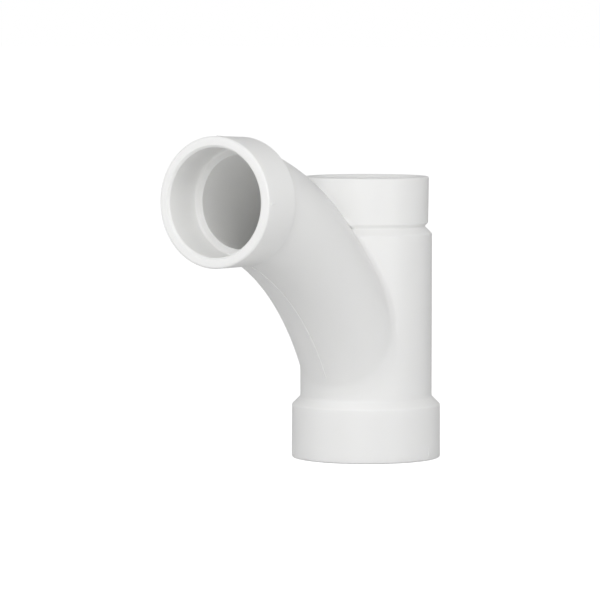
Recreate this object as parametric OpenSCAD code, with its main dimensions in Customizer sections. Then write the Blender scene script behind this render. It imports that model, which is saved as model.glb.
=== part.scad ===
// Reducing combination tee wye for solvent-welded drain pipe, in millimetres.
// The run stands on its outlet hub with its axis along Z. The branch leaves the
// run's +X side as one long sweep and ends in a hub that is nearly level.
// The origin is the centre of the outlet's mouth.

/* [Run] */
// Height of the run from the outlet's mouth to the inlet's mouth
run_h = 130.5; // [122:0.5:150]
// Outside diameter of the run's body between its hubs
body_d = 61.1; // [58.5:0.1:64]
// Diameter of the waterway through the body
body_bore = 52.5; // [46:0.1:54]
// Diameter at the bottom of the groove under the inlet hub
groove_d = 54.8; // [52:0.1:57]
// Flat width at the bottom of that groove
groove_w = 0.4; // [0.3:0.1:3]

/* [Outlet hub] */
// Outside diameter at the outlet's mouth
outlet_hub_d = 69; // [68:0.1:74]
// Length of the outlet hub, from its mouth to its shoulder
outlet_hub_l = 24.7; // [22:0.1:30]
// How much narrower the outlet hub is at its shoulder
outlet_hub_draft = 0.2; // [0.1:0.05:1]
// Diameter of the outlet's socket
outlet_socket_d = 60.4; // [58:0.1:62]
// Depth of the outlet's socket, down to its pipe stop
outlet_socket_l = 23; // [17:0.1:25]

/* [Inlet hubs] */
// Outside diameter at the mouths of the run's inlet and of the branch
inlet_hub_d = 58.2; // [56.5:0.1:63]
// Length of these two hubs, from the mouth to the shoulder
inlet_hub_l = 21.5; // [19:0.1:26]
// How much narrower these hubs are at their shoulder
inlet_hub_draft = 0.7; // [0.1:0.05:1]
// Diameter of their sockets
inlet_socket_d = 48.4; // [46:0.1:49.4]
// Depth of their sockets, down to the pipe stop
inlet_socket_l = 20.6; // [16:0.1:21]
// Diameter of the bore behind the pipe stop
inlet_bore = 41.1; // [36:0.1:43]

/* [Branch] */
// Distance from the run's axis to the centre of the branch's mouth
branch_reach = 123.9; // [118:0.1:140]
// Height of the centre of the branch's mouth
branch_rise = 122.9; // [116:0.1:132]
// Drainage fall of the branch hub, in degrees
branch_fall = 1.2; // [0:0.1:3]
// Radius of the sweep, at the middle of its tube
sweep_r = 143.2; // [135:0.1:155]
// Slope at which the sweep arrives in the branch hub, in degrees
sweep_slope = 14.1; // [12:0.1:18]
// Outside diameter of the sweep's tube
sweep_d = 50.4; // [47:0.1:53]
// How much the tube's two flanks on the outside of the bend are flattened
sweep_flat = 1.9; // [1:0.1:2.4]
// Radius of these flatter flanks
sweep_flank_r = 36; // [32:0.5:60]
// Diameter of the waterway through the sweep
sweep_bore = 40.9; // [36:0.1:42]

/* [Edges] */
// Rounding of the hubs' outer rims
rim_r = 0.6; // [0.2:0.1:1.2]
// How far the sockets open out at the mouth
lead_in = 0.5; // [0.2:0.1:1]
// Depth of that opening-out
lead_in_l = 0.5; // [0.3:0.1:2]
// Rounding in the corner at the foot of a socket
stop_r = 1.2; // [0.4:0.1:2]

/* [Alignment marks] */
// Width of a mark
mark_w = 0.7; // [0.4:0.1:2]
// Height of a mark above its hub
mark_h = 0.35; // [0.2:0.05:1]
// Distance from a hub's mouth to its marks
mark_gap = 2; // [1.5:0.1:6]
// Length of the marks
mark_l = 8; // [2:0.5:13]

/* [Hidden] */
$fn = 96;

outlet_shoulder_r = (outlet_hub_d - outlet_hub_draft) / 2;
inlet_shoulder_r = (inlet_hub_d - inlet_hub_draft) / 2;

// The groove's two flanks and the outlet's shoulder all slope at 45 degrees
groove_top_z = run_h - inlet_hub_l - (inlet_shoulder_r - groove_d / 2);
groove_foot_z = groove_top_z - groove_w;
body_top_z = groove_foot_z - (body_d - groove_d) / 2;
body_foot_z = outlet_hub_l + outlet_shoulder_r - body_d / 2;

// The body's waterway narrows to the inlet's bore behind the groove
reducer_top_z = groove_foot_z;
reducer_foot_z = reducer_top_z - (body_bore - inlet_bore) / 2;

// The sweep's centreline meets the branch hub's axis at the pipe stop
sweep_end_x = branch_reach - inlet_socket_l * cos(branch_fall);
sweep_end_z = branch_rise - inlet_socket_l * sin(branch_fall);
sweep_x = sweep_end_x + sweep_r * sin(sweep_slope);
sweep_z = sweep_end_z - sweep_r * cos(sweep_slope);

// Angles about the sweep's centre, from +X, where its tube and bore begin and end
run_angle = 180 - asin(max(0, (body_foot_z - sweep_z) / sweep_r));
hub_angle = 90 + sweep_slope;
hub_overlap = 3;
bore_overlap = sweep_bore * tan(sweep_slope - branch_fall) / sweep_r * 180 / PI / 2 + 0.5;

// Where the flatter flanks have their centres, on the inside of the bend
flank_away = (sweep_flank_r - sweep_d / 2 + sweep_flat) / sqrt(2);

over = 1;

// Outline of a hub in (radius, distance from the mouth), with a rounded rim and
// a shoulder at 45 degrees that ends at the radius foot_r
function hub_outline(mouth_r, shoulder_r, l, foot_r) = concat(
    [[0, 0]],
    [for (a = [0 : 15 : 90]) [mouth_r - rim_r + rim_r * sin(a), rim_r - rim_r * cos(a)]],
    [[shoulder_r, l], [foot_r, l + shoulder_r - foot_r], [0, l + shoulder_r - foot_r]]);

// Outline of a socket, with its lead-in and the rounded corner at the pipe stop
function socket_outline(r, l) = concat(
    [[0, -over], [r + lead_in, -over], [r + lead_in, 0], [r, lead_in_l]],
    [for (a = [0 : 15 : 90]) [r - stop_r + stop_r * cos(a), l - stop_r + stop_r * sin(a)]],
    [[0, l]]);

// A short raised bar down the outside of a hub, at the angle a about its axis
module mark(hub_r, draft_r, hub_l, a) {
    sunk = 1;
    lean = atan(draft_r / hub_l);
    rotate([0, 0, a])
        translate([hub_r, 0, 0])
            rotate([0, -lean, 0])
                translate([-sunk, -mark_w / 2, mark_gap])
                    cube([sunk + mark_h, mark_w, mark_l]);
}

// The solid hub that the run's inlet and the branch share, from its mouth along +Z
module inlet_hub(foot_r) {
    rotate_extrude()
        polygon(hub_outline(inlet_hub_d / 2, inlet_shoulder_r, inlet_hub_l, foot_r));
}

module inlet_socket() {
    rotate_extrude()
        polygon(socket_outline(inlet_socket_d / 2, inlet_socket_l));
}

module outlet_hub() {
    rotate_extrude()
        polygon(hub_outline(outlet_hub_d / 2, outlet_shoulder_r, outlet_hub_l, body_d / 2));
    for (a = [90, -45, -90])
        mark(outlet_hub_d / 2, outlet_hub_draft / 2, outlet_hub_l, a);
}

// Moves a shape drawn from a mouth along +Z to the run's inlet, facing down
module at_inlet() {
    translate([0, 0, run_h])
        mirror([0, 0, 1])
            children();
}

// Moves a shape drawn from a mouth along +Z to the branch's mouth, facing the run
module at_branch() {
    translate([branch_reach, 0, branch_rise])
        rotate([0, -90 - branch_fall, 0])
            children();
}

// A bar along the sweep's arc, between two angles; its section is the child
module sweep_bar(from, to) {
    translate([sweep_x, 0, sweep_z])
        rotate([90, 0, 0])
            rotate_extrude(start = from, angle = to - from)
                translate([sweep_r, 0])
                    children();
}

// The tube's outside, with the outside of the bend towards +X: round, but flatter on
// its two flanks there
module sweep_section() {
    intersection() {
        circle(d = sweep_d);
        translate([-flank_away, -flank_away])
            circle(r = sweep_flank_r);
        translate([-flank_away, flank_away])
            circle(r = sweep_flank_r);
    }
}

module run_outside() {
    outlet_hub();
    rotate_extrude()
        polygon([
            [0, outlet_hub_l],
            [body_d / 2, body_foot_z],
            [body_d / 2, body_top_z],
            [groove_d / 2, groove_foot_z],
            [groove_d / 2, groove_top_z],
            [0, groove_top_z]]);
    at_inlet()
        inlet_hub(groove_d / 2);
}

module branch_outside() {
    sweep_bar(hub_angle - hub_overlap, run_angle)
        sweep_section();
    at_branch() {
        inlet_hub((sweep_bore + sweep_d) / 4);
        for (a = [0, 90, -90])
            mark(inlet_hub_d / 2, inlet_hub_draft / 2, inlet_hub_l, a);
    }
}

module run_waterway() {
    rotate_extrude()
        polygon(socket_outline(outlet_socket_d / 2, outlet_socket_l));
    rotate_extrude()
        polygon([
            [0, outlet_socket_l - over],
            [body_bore / 2, outlet_socket_l - over],
            [body_bore / 2, reducer_foot_z],
            [inlet_bore / 2, reducer_top_z],
            [inlet_bore / 2, run_h - inlet_socket_l + over],
            [0, run_h - inlet_socket_l + over]]);
    at_inlet()
        inlet_socket();
}

module branch_waterway() {
    sweep_bar(hub_angle - bore_overlap, run_angle)
        circle(d = sweep_bore);
    at_branch()
        inlet_socket();
}

module fitting() {
    color("white")
        difference() {
            union() {
                run_outside();
                branch_outside();
            }
            run_waterway();
            branch_waterway();
        }
}

fitting();
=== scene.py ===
import bmesh
import bpy
import math
import numpy as np
from mathutils import Matrix, Vector


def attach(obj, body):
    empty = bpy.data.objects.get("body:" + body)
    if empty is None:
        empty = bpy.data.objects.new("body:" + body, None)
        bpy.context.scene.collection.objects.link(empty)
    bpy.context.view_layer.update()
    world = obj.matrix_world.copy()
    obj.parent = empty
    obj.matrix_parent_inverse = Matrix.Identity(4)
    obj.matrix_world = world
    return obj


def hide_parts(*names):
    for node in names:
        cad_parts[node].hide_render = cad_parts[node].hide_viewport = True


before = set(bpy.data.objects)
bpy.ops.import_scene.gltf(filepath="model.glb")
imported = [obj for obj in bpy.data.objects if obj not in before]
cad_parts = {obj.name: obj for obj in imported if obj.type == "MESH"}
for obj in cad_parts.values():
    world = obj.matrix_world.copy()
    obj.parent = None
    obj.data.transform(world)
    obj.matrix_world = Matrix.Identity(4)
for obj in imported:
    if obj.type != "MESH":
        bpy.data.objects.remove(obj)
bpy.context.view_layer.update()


# Fitting: one shot of rigid white PVC, injection moulded in a split mould with three drawn
# cores. The run, the sweep and the branch hub are drawn as solids and joined, and the
# waterways are cut out of them.
MM = 0.001

# The run and its two hubs, in mm
RUN_H = 130.5
BODY_R = 30.55
BODY_BORE_R = 26.25
GROOVE_R = 27.4
GROOVE_W = 0.5
REDUCER_TOP = 107.35
OUTLET_R = 34.5
OUTLET_DRAFT = 0.1
OUTLET_L = 24.7
OUTLET_SOCKET_R = 30.2
OUTLET_SOCKET_L = 23
OUTLET_LEAD = 0.9
INLET_R = 29.1
INLET_DRAFT = 0.35
INLET_L = 21.4
INLET_BORE_R = 20.55
SOCKET_R = 24.2
SOCKET_L = 20.6
LEAD = 1

# The branch hub, whose rim and socket are the inlet's
BRANCH_REACH = 123.9
BRANCH_RISE = 122.9
BRANCH_FALL = math.radians(1.2)
BRANCH_L = 21.5
BRANCH_FOOT_R = 23

# The sweep: the centre and radius of its arc in the middle plane, and its section
SWEEP_X = 138.2
SWEEP_Z = -16.4
SWEEP_R = 143.2
TUBE_R = 25.4
SWEEP_BORE_R = 20.45

# How deep the tube is flattened: on the two flanks on the outside of its bend, at these angles
# along the arc, and on the inside
FLANK_ANGLES = np.radians([104, 118, 126, 132, 140])
FLANK_FLATS = [0.6, 1.0, 1.8, 2.4, 2.6]
INSIDE_FLAT = 0.2

# Rigid white PVC straight from a polished mould: a soft sheen and a trace of mould texture
pvc = bpy.data.materials.new("moulded_plastic")
pvc.use_nodes = True
nodes = pvc.node_tree.nodes
links = pvc.node_tree.links
shader = nodes["Principled BSDF"]
shader.inputs["Base Color"].default_value = (0.91, 0.91, 0.9, 1)
shader.inputs["Subsurface Weight"].default_value = 0.4
shader.inputs["Subsurface Radius"].default_value = (1, 1, 0.95)
shader.inputs["Subsurface Scale"].default_value = 0.005
shader.inputs["Roughness"].default_value = 0.36
shader.inputs["IOR"].default_value = 1.53
where = nodes.new("ShaderNodeTexCoord")
grain = nodes.new("ShaderNodeTexNoise")
grain.inputs["Scale"].default_value = 900
grain.inputs["Detail"].default_value = 3
bump = nodes.new("ShaderNodeBump")
bump.inputs["Strength"].default_value = 0.08
bump.inputs["Distance"].default_value = 0.0002
links.new(where.outputs["Object"], grain.inputs["Vector"])
links.new(grain.outputs["Fac"], bump.inputs["Height"])
links.new(bump.outputs["Normal"], shader.inputs["Normal"])


def rounded(corners, step=9):
    """A line of (radius, height) with each corner (r, z, rounding) turned into an arc."""
    line = []
    for i, (r, z, rounding) in enumerate(corners):
        here = Vector((r, z))
        if rounding == 0:
            line.append(here)
            continue
        before = (Vector(corners[i - 1][:2]) - here).normalized()
        after = (Vector(corners[i + 1][:2]) - here).normalized()
        half = before.angle(after) / 2
        back = rounding / math.tan(half)
        centre = here + (before + after).normalized() * rounding / math.sin(half)
        start = here + before * back - centre
        end = here + after * back - centre
        turn = math.atan2(start.x * end.y - start.y * end.x, start.dot(end))
        parts = max(2, math.ceil(abs(math.degrees(turn)) / step))
        line += [centre + Matrix.Rotation(turn * k / parts, 2) @ start for k in range(parts + 1)]
    return line


def refined(line, longest):
    """The same line with no stretch longer than that."""
    out = [line[0]]
    for a, b in zip(line, line[1:]):
        parts = max(1, math.ceil((b - a).length / longest))
        out += [a.lerp(b, k / parts) for k in range(1, parts + 1)]
    return out


def solid(name, rings, start, end):
    """A closed mesh through rings of points, with a point at either end."""
    n = len(rings[0])
    points = [start] + [p for ring in rings for p in ring] + [end]
    last = 1 + (len(rings) - 1) * n
    faces = []
    for k in range(n):
        m = (k + 1) % n
        faces.append((0, 1 + m, 1 + k))
        faces.append((len(points) - 1, last + k, last + m))
        for a in range(1, last, n):
            b = a + n
            faces.append((a + k, a + m, b + m, b + k))
    mesh = bpy.data.meshes.new(name)
    mesh.from_pydata([Vector(p) * MM for p in points], [], faces)
    mesh.validate()
    obj = bpy.data.objects.new(name, mesh)
    bpy.context.scene.collection.objects.link(obj)
    return obj


def turned(name, line, sides, place=Matrix.Identity(4)):
    """A solid turned about Z from a line that starts and ends on the axis."""
    angles = [math.tau * k / sides for k in range(sides)]
    rings = [[place @ Vector((p.x * math.cos(a), p.x * math.sin(a), p.y)) for a in angles]
             for p in line[1:-1]]
    return solid(name, rings, place @ Vector((0, 0, line[0].y)), place @ Vector((0, 0, line[-1].y)))


# The outsides of the run and of the branch hub, which is turned in its own frame, from its
# mouth along +Z, and then laid on the branch. All shoulders slope at 45 degrees.
inlet_shoulder_r = INLET_R - INLET_DRAFT
outlet_shoulder_r = OUTLET_R - OUTLET_DRAFT
body_foot = OUTLET_L + outlet_shoulder_r - BODY_R
inlet_foot = RUN_H - INLET_L
groove_top = inlet_foot - (inlet_shoulder_r - GROOVE_R)
groove_foot = groove_top - GROOVE_W
body_top = groove_foot - (BODY_R - GROOVE_R)
run_line = rounded([
    (0, 0, 0), (OUTLET_R, 0, 0.8), (outlet_shoulder_r, OUTLET_L, 1), (BODY_R, body_foot, 1.5),
    (BODY_R, body_top, 0.5), (GROOVE_R, groove_foot, 0), (GROOVE_R, groove_top, 0),
    (inlet_shoulder_r, inlet_foot, 0.6), (INLET_R, RUN_H, 0.9), (0, RUN_H, 0)])
fitting = turned("fitting", refined(run_line, longest=1.4), sides=216)

at_branch = (Matrix.Translation((BRANCH_REACH, 0, BRANCH_RISE))
             @ Matrix.Rotation(-math.pi / 2 - BRANCH_FALL, 4, 'Y'))
branch_foot = BRANCH_L + inlet_shoulder_r - BRANCH_FOOT_R
hub_outside = turned("hub_outside", rounded([
    (0, 0, 0), (INLET_R, 0, 1), (inlet_shoulder_r, BRANCH_L, 0.8), (BRANCH_FOOT_R, branch_foot, 0),
    (0, branch_foot, 0)]), sides=216, place=at_branch)


def tube_radius(t, a):
    """Radius of the tube's section. t is 0 at the outside of the bend and pi at the inside,
    and a is the angle along the arc; the flanks get flatter towards the run."""
    flank = np.interp(a, FLANK_ANGLES, FLANK_FLATS)
    return TUBE_R - np.where(np.cos(t) > 0, flank * np.sin(2 * t) ** 2,
                             INSIDE_FLAT * np.cos(t) ** 2)


def sweep(name, radius, start, end, sides, rows):
    """A bar along the sweep's arc, between two angles from +X."""
    around = np.arange(sides) / sides * math.tau
    rings = []
    for a in np.linspace(start, end, rows):
        r = radius(around, a)
        out = SWEEP_R + r * np.cos(around)
        side = r * np.sin(around)
        rings.append(list(zip(SWEEP_X + out * math.cos(a), side, SWEEP_Z + out * math.sin(a))))
    ends = [(SWEEP_X + SWEEP_R * math.cos(a), 0, SWEEP_Z + SWEEP_R * math.sin(a))
            for a in (start, end)]
    return solid(name, rings, *ends)


# Both the tube and its bore start inside the branch hub and end inside the run
run_end = math.pi - math.asin((body_foot - SWEEP_Z) / SWEEP_R)
sweep_outside = sweep("sweep_outside", tube_radius, start=math.radians(101.5), end=run_end,
                      sides=180, rows=120)
sweep_water = sweep("sweep_water", lambda t, a: np.full_like(t, SWEEP_BORE_R),
                    start=math.radians(102), end=run_end, sides=120, rows=64)


def socket(radius, depth, lead):
    """Corners of a socket: the lead-in at its mouth and the rounded corner at the pipe stop."""
    over = 1
    lead_rounding = 0.9
    stop_rounding = 1.2
    return [(0, -over, 0), (radius + lead, -over, 0), (radius + lead, 0, 0),
            (radius, lead, lead_rounding), (radius, depth, stop_rounding)]


# The waterways: the run's narrows to the inlet's bore behind the groove
reducer_foot = REDUCER_TOP - (BODY_BORE_R - INLET_BORE_R)
inlet_socket = [(r, RUN_H - z, rounding) for r, z, rounding in socket(SOCKET_R, SOCKET_L, LEAD)]
run_water = turned("run_water", rounded(socket(OUTLET_SOCKET_R, OUTLET_SOCKET_L, OUTLET_LEAD) + [
    (BODY_BORE_R, OUTLET_SOCKET_L, 0.5), (BODY_BORE_R, reducer_foot, 1),
    (INLET_BORE_R, REDUCER_TOP, 1), (INLET_BORE_R, RUN_H - SOCKET_L, 0.5)]
    + inlet_socket[::-1]), sides=144)
hub_water = turned("hub_water", rounded(socket(SOCKET_R, SOCKET_L, LEAD) + [(0, SOCKET_L, 0)]),
                   sides=144, place=at_branch)


def tree(name, sizes):
    """An empty node tree with its named inputs, and the node that hands them on."""
    group = bpy.data.node_groups.new(name, 'GeometryNodeTree')
    for way in ('INPUT', 'OUTPUT'):
        group.interface.new_socket("Geometry", in_out=way, socket_type='NodeSocketGeometry')
    for label in sizes:
        group.interface.new_socket(label, in_out='INPUT', socket_type='NodeSocketFloat')
    return group, group.nodes.new("NodeGroupInput")


def joined(group, pairs, last):
    """Links the sockets in pairs, and ends the tree after the last one."""
    real = group.nodes.new("GeometryNodeRealizeInstances")
    paint = group.nodes.new("GeometryNodeSetMaterial")
    paint.inputs["Material"].default_value = pvc
    made = group.nodes.new("NodeGroupOutput")
    pairs += [(last, real.inputs["Geometry"]),
              (real.outputs["Geometry"], paint.inputs["Geometry"]),
              (paint.outputs["Geometry"], made.inputs["Geometry"])]
    for a, b in pairs:
        group.links.new(a, b)


def grown(name, mesh, group, sizes):
    """The plain mesh that a node tree makes with these sizes."""
    obj = bpy.data.objects.new(name, mesh)
    bpy.context.scene.collection.objects.link(obj)
    grow = obj.modifiers.new(name, 'NODES')
    grow.node_group = group
    for item in group.interface.items_tree:
        if item.in_out == 'INPUT' and item.name in sizes:
            grow[item.identifier] = float(sizes[item.name])
    view = bpy.context.evaluated_depsgraph_get()
    plain = bpy.data.meshes.new_from_object(obj.evaluated_get(view))
    obj.modifiers.clear()
    obj.data = plain
    return obj


# The alignment marks: ribs left by cuts in the mould, down the outside of two hubs. Each is
# a rod that is sunk in the hub and leans into it, so that it runs out.
MARK_R = 0.85
MARK_L = 8
MARK_MIDDLE = 6
MARK_SUNK = 0.75
MARK_LEAN = 0.06

marks_tree, given = tree("alignment marks", ("Radius", "Length"))
rod = marks_tree.nodes.new("GeometryNodeMeshCylinder")
rod.inputs["Vertices"].default_value = 16
turn = marks_tree.nodes.new("GeometryNodeInputNamedAttribute")
turn.data_type = 'FLOAT_VECTOR'
turn.inputs["Name"].default_value = "turn"
turned_by = marks_tree.nodes.new("FunctionNodeEulerToRotation")
spread = marks_tree.nodes.new("GeometryNodeInstanceOnPoints")
joined(marks_tree, [(given.outputs["Radius"], rod.inputs["Radius"]),
                    (given.outputs["Length"], rod.inputs["Depth"]),
                    (given.outputs["Geometry"], spread.inputs["Points"]),
                    (rod.outputs["Mesh"], spread.inputs["Instance"]),
                    (turn.outputs["Attribute"], turned_by.inputs["Euler"]),
                    (turned_by.outputs["Rotation"], spread.inputs["Rotation"])],
       spread.outputs["Instances"])


def marks(name, angles, mouth_r, draft, place=Matrix.Identity(4)):
    """The marks of one hub, at these angles in degrees about its axis."""
    mesh = bpy.data.meshes.new(name)
    r = mouth_r - draft * MARK_MIDDLE - MARK_SUNK
    turns = [math.radians(a) for a in angles]
    mesh.from_pydata([Vector((r * math.cos(a), r * math.sin(a), MARK_MIDDLE)) * MM for a in turns],
                     [], [])
    turn = mesh.attributes.new("turn", 'FLOAT_VECTOR', 'POINT')
    for k, a in enumerate(turns):
        turn.data[k].vector = (0, -math.atan(draft + MARK_LEAN), a)
    obj = grown(name, mesh, marks_tree, {"Radius": MARK_R * MM, "Length": MARK_L * MM})
    obj.data.transform(Matrix.Scale(MM, 4) @ place @ Matrix.Scale(1 / MM, 4))
    return obj


outlet_marks = marks("outlet_marks", (90, -45, -90), OUTLET_R, OUTLET_DRAFT / OUTLET_L)
branch_marks = marks("branch_marks", (0, 90, -90), INLET_R, INLET_DRAFT / BRANCH_L, at_branch)

# The fine line where the mould halves met, along the inside of the bend: a round rib whose
# middle lies this far from the tube's
SEAM_R = 0.3
SEAM_OUT = 25.25

seam_tree, given = tree("mould line", ("Radius", "Start", "Sweep", "Thickness"))
arc = seam_tree.nodes.new("GeometryNodeCurveArc")
arc.inputs["Resolution"].default_value = 120
lie = seam_tree.nodes.new("GeometryNodeTransform")
lie.inputs["Rotation"].default_value = (math.pi / 2, 0, 0)
lie.inputs["Translation"].default_value = (SWEEP_X * MM, 0, SWEEP_Z * MM)
edge = seam_tree.nodes.new("GeometryNodeCurvePrimitiveCircle")
edge.inputs["Resolution"].default_value = 8
rib = seam_tree.nodes.new("GeometryNodeCurveToMesh")
rib.inputs["Fill Caps"].default_value = True
joined(seam_tree, [(given.outputs["Radius"], arc.inputs["Radius"]),
                   (given.outputs["Start"], arc.inputs["Start Angle"]),
                   (given.outputs["Sweep"], arc.inputs["Sweep Angle"]),
                   (given.outputs["Thickness"], edge.inputs["Radius"]),
                   (arc.outputs["Curve"], lie.inputs["Geometry"]),
                   (lie.outputs["Geometry"], rib.inputs["Curve"]),
                   (edge.outputs["Curve"], rib.inputs["Profile Curve"])],
       rib.outputs["Mesh"])
seam = grown("seam", bpy.data.meshes.new("seam"), seam_tree, {
    "Radius": (SWEEP_R - SEAM_OUT) * MM, "Start": math.radians(106),
    "Sweep": math.radians(46), "Thickness": SEAM_R * MM})

# All the outsides are joined before the waterways are cut
for way, others in (
        ('UNION', (sweep_outside, hub_outside, outlet_marks, branch_marks, seam)),
        ('DIFFERENCE', (run_water, sweep_water, hub_water))):
    for other in others:
        cut = fitting.modifiers.new(way, 'BOOLEAN')
        cut.operation = way
        cut.object = other
        cut.solver = 'MANIFOLD'
        view = bpy.context.evaluated_depsgraph_get()
        mesh = bpy.data.meshes.new_from_object(fitting.evaluated_get(view))
        fitting.modifiers.clear()
        fitting.data = mesh
        bpy.data.objects.remove(other)


# The soft corner between the run and the sweep: every point near it moves on to the
# surface of a ball rolled along both. The ball has these radii at these heights.
CORNER_HEIGHTS = [30, 50, 62, 75, 95, 118]
CORNER_RADII = [2, 1.6, 1.2, 2.8, 3.3, 3]
CORNER_TOP = 127


def run_gap(p):
    """Signed distance from the run's outside, in mm."""
    q = np.stack([np.hypot(p[:, 0], p[:, 1]), p[:, 2]], 1)
    best = np.full(len(q), np.inf)
    inside = np.zeros(len(q), bool)
    for a, b in zip(np.array(run_line), np.array(run_line[1:])):
        side = b - a
        t = np.clip((q - a) @ side / (side @ side), 0, 1)
        best = np.minimum(best, np.linalg.norm(q - a - t[:, None] * side, axis=1))
        cross = (a[1] > q[:, 1]) != (b[1] > q[:, 1])
        if a[1] != b[1]:
            inside ^= cross & (q[:, 0] < a[0] + (q[:, 1] - a[1]) * side[0] / side[1])
    return np.where(inside, -best, best)


def sweep_gap(p):
    """Signed distance from the sweep's outside, in mm."""
    out = np.hypot(p[:, 0] - SWEEP_X, p[:, 2] - SWEEP_Z) - SWEEP_R
    along = np.arctan2(p[:, 2] - SWEEP_Z, p[:, 0] - SWEEP_X)
    return np.hypot(out, p[:, 1]) - tube_radius(np.arctan2(np.abs(p[:, 1]), out), along)


def soft_gap(p, r):
    """Signed distance from both, with a corner of radius r between them."""
    a = run_gap(p)
    b = sweep_gap(p)
    corner = np.hypot(np.maximum(r - a, 0), np.maximum(r - b, 0))
    return np.maximum(r, np.minimum(a, b)) - corner


def slope(p, r):
    """The direction in which that distance grows."""
    step = 0.01
    g = np.zeros_like(p)
    for k in range(3):
        d = np.zeros(3)
        d[k] = step
        g[:, k] = (soft_gap(p + d, r) - soft_gap(p - d, r)) / (2 * step)
    return g


def near_corner(points):
    """Radius of the soft corner at each point, and which points it moves."""
    soft = np.interp(points[:, 2], CORNER_HEIGHTS, CORNER_RADII)
    a = run_gap(points)
    b = sweep_gap(points)
    near = (np.maximum(a, b) < soft * 1.05) & (np.minimum(a, b) > -0.03)
    return soft, near & (points[:, 0] > 0) & (points[:, 2] < CORNER_TOP)


# The faces there are cut smaller first, so that the corner is truly round
shape = bmesh.new()
shape.from_mesh(fitting.data)
for longest in (0.9, 0.45):
    points = np.array([v.co for v in shape.verts]) / MM
    near = near_corner(points)[1]
    bmesh.ops.triangulate(shape, faces=[f for f in shape.faces
                                        if any(near[v.index] for v in f.verts)])
    shape.verts.index_update()
    long = [e for e in shape.edges if near[e.verts[0].index] and near[e.verts[1].index]
            and e.calc_length() > longest * MM]
    bmesh.ops.subdivide_edges(shape, edges=long, cuts=1)
    shape.verts.index_update()
near = near_corner(np.array([v.co for v in shape.verts]) / MM)[1]
bmesh.ops.triangulate(shape, faces=[f for f in shape.faces
                                    if len(f.verts) > 4 and all(near[v.index] for v in f.verts)])
shape.to_mesh(fitting.data)
shape.free()

points = np.empty(len(fitting.data.vertices) * 3)
fitting.data.vertices.foreach_get("co", points)
points = points.reshape(-1, 3) / MM
soft, near = near_corner(points)
p = points[near]
r = soft[near]
for _ in range(6):
    g = slope(p, r)
    p -= (soft_gap(p, r) / (g * g).sum(1).clip(0.2))[:, None] * g
points[near] = p
fitting.data.vertices.foreach_set("co", (points * MM).ravel())

# Smooth shading that follows the large faces, and the rolled ball's own slope in the corner
fitting.data.polygons.foreach_set("use_smooth", [True] * len(fitting.data.polygons))
fitting.data.update()
fitting.data.set_sharp_from_angle(angle=math.radians(32))
weigh = fitting.modifiers.new("normals", 'WEIGHTED_NORMAL')
weigh.keep_sharp = True
weigh.weight = 80
view = bpy.context.evaluated_depsgraph_get()
mesh = bpy.data.meshes.new_from_object(fitting.evaluated_get(view))
fitting.modifiers.clear()
fitting.data = mesh
corner_of = np.empty(len(mesh.loops), int)
mesh.loops.foreach_get("vertex_index", corner_of)
normals = np.empty(len(mesh.loops) * 3)
mesh.corner_normals.foreach_get("vector", normals)
normals = normals.reshape(-1, 3)
g = slope(p, r)
smooth = np.zeros((len(points), 3))
smooth[near] = g / np.linalg.norm(g, axis=1)[:, None]
at_corner = near[corner_of]
normals[at_corner] = smooth[corner_of[at_corner]]
mesh.normals_split_custom_set([tuple(v) for v in normals])

mesh.materials.clear()
mesh.materials.append(pvc)
mesh.polygons.foreach_set("material_index", [0] * len(mesh.polygons))
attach(fitting, "root")
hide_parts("fitting")


# Floor: plain, pale and matt, and it runs to the horizon. What the camera sees of it is
# lifted to white, and it keeps the fitting's shadow.
FLOOR_HALF = 30

mesh = bpy.data.meshes.new("floor")
mesh.from_pydata([(x * FLOOR_HALF, y * FLOOR_HALF, 0) for x, y in ((-1, -1), (1, -1), (1, 1), (-1, 1))],
                 [], [(0, 1, 2, 3)])
floor = bpy.data.objects.new("floor", mesh)
bpy.context.scene.collection.objects.link(floor)
pale = bpy.data.materials.new("floor")
pale.use_nodes = True
nodes = pale.node_tree.nodes
links = pale.node_tree.links
nodes.clear()
matt = nodes.new("ShaderNodeBsdfDiffuse")
matt.inputs["Color"].default_value = (0.7, 0.7, 0.7, 1)
glow = nodes.new("ShaderNodeEmission")
ray = nodes.new("ShaderNodeLightPath")
lift = nodes.new("ShaderNodeMath")
lift.operation = 'MULTIPLY'
lift.inputs[1].default_value = 0.72
both = nodes.new("ShaderNodeAddShader")
surface = nodes.new("ShaderNodeOutputMaterial")
links.new(ray.outputs["Is Camera Ray"], lift.inputs[0])
links.new(lift.outputs[0], glow.inputs["Strength"])
links.new(matt.outputs[0], both.inputs[0])
links.new(glow.outputs[0], both.inputs[1])
links.new(both.outputs[0], surface.inputs["Surface"])
floor.data.materials.append(pale)


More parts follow.
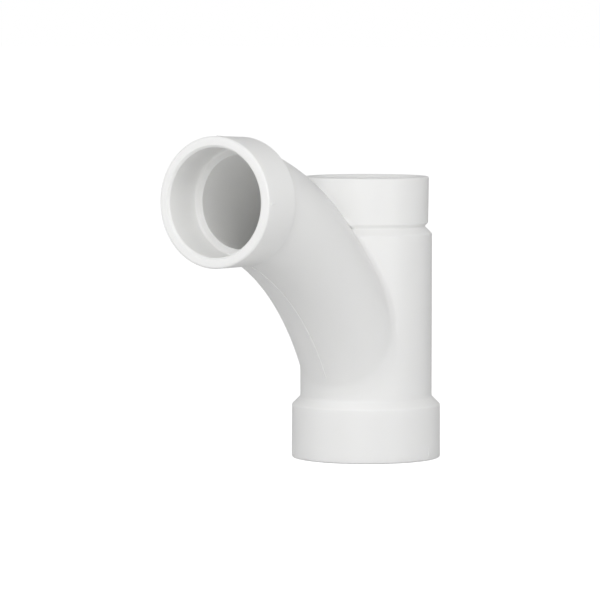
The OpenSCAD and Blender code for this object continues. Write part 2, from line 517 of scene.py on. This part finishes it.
# Room: a white studio. It gives an even light from all round, at a plain level, and the
# camera sees its walls as plain white.
world = bpy.data.worlds.new("studio")
world.use_nodes = True
bpy.context.scene.world = world
nodes = world.node_tree.nodes
links = world.node_tree.links
room = nodes["Background"]
room.inputs["Color"].default_value = (1, 1, 1, 1)
room.inputs["Strength"].default_value = 0.45
sky = nodes.new("ShaderNodeBackground")
sky.inputs["Color"].default_value = (1, 1, 1, 1)
ray = nodes.new("ShaderNodeLightPath")
seen = nodes.new("ShaderNodeMath")
seen.operation = 'MAXIMUM'
pick = nodes.new("ShaderNodeMixShader")
links.new(ray.outputs["Is Camera Ray"], seen.inputs[0])
links.new(ray.outputs["Is Transmission Ray"], seen.inputs[1])
links.new(seen.outputs[0], pick.inputs["Fac"])
links.new(room.outputs[0], pick.inputs[1])
links.new(sky.outputs[0], pick.inputs[2])
links.new(pick.outputs[0], nodes["World Output"].inputs["Surface"])


# Camera: it stands where the photograph was taken, looks at the middle of the run's height
# and is turned a little, so that the fitting lies in the picture as it does there.
CAMERA_AZIMUTH = math.radians(122.553)
CAMERA_ELEVATION = math.radians(4.263)
CAMERA_AWAY = 1.8088
CAMERA_LENS = 233.4
AIM_LEFT = 0.03071
AIM_UP = 0.00779

target = Vector((0, 0, 0.0651))
level = Vector((math.sin(CAMERA_AZIMUTH), -math.cos(CAMERA_AZIMUTH), 0))
right = Vector((math.cos(CAMERA_AZIMUTH), math.sin(CAMERA_AZIMUTH), 0))
back = level * math.cos(CAMERA_ELEVATION) + Vector((0, 0, math.sin(CAMERA_ELEVATION)))
aim = target - right * AIM_LEFT + back.cross(right) * AIM_UP
camera = bpy.data.objects.new("camera", bpy.data.cameras.new("camera"))
camera.data.lens = CAMERA_LENS
camera.data.clip_end = 200
camera.location = target + back * CAMERA_AWAY
camera.rotation_euler = (camera.location - aim).to_track_quat('Z', 'Y').to_euler()
bpy.context.scene.collection.objects.link(camera)
bpy.context.scene.camera = camera
bpy.context.scene.view_settings.view_transform = 'Standard'


# Lamps: four square soft boxes on stands, above, beside and in front of the fitting, and
# all aimed at it.
LAMP_SIZE = 0.7


def lamp(name, to_right, to_camera, height, watts):
    """A lamp placed as seen from the camera, in m from the fitting."""
    data = bpy.data.lights.new(name, 'AREA')
    data.size = LAMP_SIZE
    data.energy = watts
    obj = bpy.data.objects.new(name, data)
    obj.location = target + right * to_right + level * to_camera + Vector((0, 0, height))
    obj.rotation_euler = (obj.location - target).to_track_quat('Z', 'Y').to_euler()
    bpy.context.scene.collection.objects.link(obj)


lamp("high", 0, 1, 0.8, 3.1)
lamp("left", -1.15, 0.35, 0.2, 3)
lamp("front", -0.1, 1.2, 0.2, 2.4)
lamp("right", 0.8, 0.9, 0.2, 2.9)
